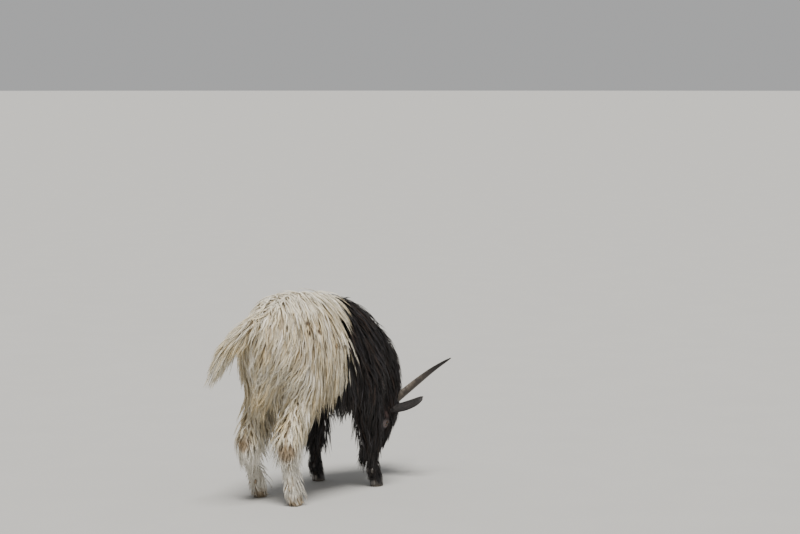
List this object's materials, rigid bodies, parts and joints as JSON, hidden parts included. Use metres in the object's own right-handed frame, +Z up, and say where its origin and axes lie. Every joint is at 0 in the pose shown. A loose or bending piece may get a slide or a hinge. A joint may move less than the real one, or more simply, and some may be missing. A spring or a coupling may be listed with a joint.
{
  "type": "valais blackneck goat",
  "caption": "Long-haired goat, black in front and white behind, grazing with its head low, horns swept back, as a still life-size model.",
  "frame": {"origin": "middle of the bottom of the box round the whole goat, on the floor that its hooves stand on", "axes": "+X towards the head, along the body; +Y towards the goat's left side; +Z up"},
  "size_m": [1.2456, 0.4586, 0.79],
  "materials": {
    "coat_white": "long wavy cream-white hair, tan in its shadows",
    "coat_black": "long black-brown hair with a soft sheen",
    "horn": "grey-brown ridged horn, darker at the tip",
    "hoof_pale": "pale tan hoof horn",
    "hoof_dark": "dark grey hoof horn",
    "eye": "wet, glossy amber-brown with a dark level pupil"
  },
  "bodies": {
    "root": {"claw_fore_left_inner": "hoof_dark", "claw_fore_left_outer": "hoof_dark", "claw_fore_right_inner": "hoof_dark", "claw_fore_right_outer": "hoof_dark", "claw_hind_left_inner": "hoof_pale", "claw_hind_left_outer": "hoof_pale", "claw_hind_right_inner": "hoof_pale", "claw_hind_right_outer": "hoof_pale", "ear_left": "coat_black", "ear_right": "coat_black", "eye_left": "eye", "eye_right": "eye", "head": "coat_black", "horn_left": "horn", "horn_right": "horn", "leg_fore_left": "coat_black", "leg_fore_right": "coat_black", "leg_hind_left": "coat_white", "leg_hind_right": "coat_white", "neck": "coat_black", "tail": "coat_white", "torso_front": "coat_black", "torso_rear": "coat_white"}
  },
  "joints": []
}
